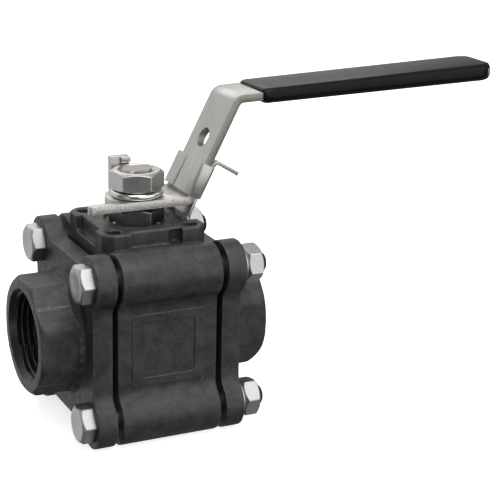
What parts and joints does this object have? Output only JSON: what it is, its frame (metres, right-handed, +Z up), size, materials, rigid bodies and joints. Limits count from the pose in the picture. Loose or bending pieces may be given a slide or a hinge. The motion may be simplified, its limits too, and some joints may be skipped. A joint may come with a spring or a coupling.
{
  "type": "ball valve",
  "caption": "Three-piece full-port ball valve with octagonal threaded ends, a square mounting pad and a cranked lever with a sliding lock.",
  "frame": {"origin": "centre of the ball, on the pipe's axis", "axes": "+X along the pipe towards the outlet and the lever's handle, +Z up along the stem, +Y to the back"},
  "size_m": [0.1946, 0.0728, 0.127],
  "materials": {
    "black_casting": "matt black phosphated carbon steel casting",
    "zinc_bolt": "dull satin",
    "white_ptfe": "smooth PTFE",
    "stainless": "machined satin",
    "dark_stainless": "machined, dark",
    "brushed_stainless": "rolled sheet with sheared edges",
    "polished_stainless": "polished",
    "black_vinyl": "glossy dipped vinyl",
    "black_rubber": "smooth rubber"
  },
  "bodies": {
    "valve": {"valve_body": "black_casting", "end_cap_inlet": "black_casting", "end_cap_outlet": "black_casting", "body_bolts": "zinc_bolt", "body_nuts": "zinc_bolt", "body_spring_washers": "zinc_bolt", "seat_inlet": "white_ptfe", "seat_outlet": "white_ptfe", "body_seal_inlet": "white_ptfe", "body_seal_outlet": "white_ptfe", "thrust_washer": "white_ptfe", "stem_packing": "white_ptfe", "gland_ring": "stainless"},
    "lever": {"lever": "brushed_stainless", "grip_sleeve": "black_vinyl", "stem": "stainless", "ball": "polished_stainless", "stem_o_ring": "black_rubber", "disc_springs": "stainless", "gland_nut": "dark_stainless", "spring_washer": "polished_stainless", "top_nut": "stainless"},
    "lock": {"lock_slide": "brushed_stainless"}
  },
  "joints": [
    {"name": "lever_turn", "type": "hinge", "parent": "valve", "child": "lever", "pos_m": [0, 0, 0], "axis": [0, 0, 1], "range_deg": [-90, 0]},
    {"name": "lock_lift", "type": "slide", "parent": "lever", "child": "lock", "axis": [0.454, 0, 0.891], "range_m": [0, 0.012]}
  ]
}
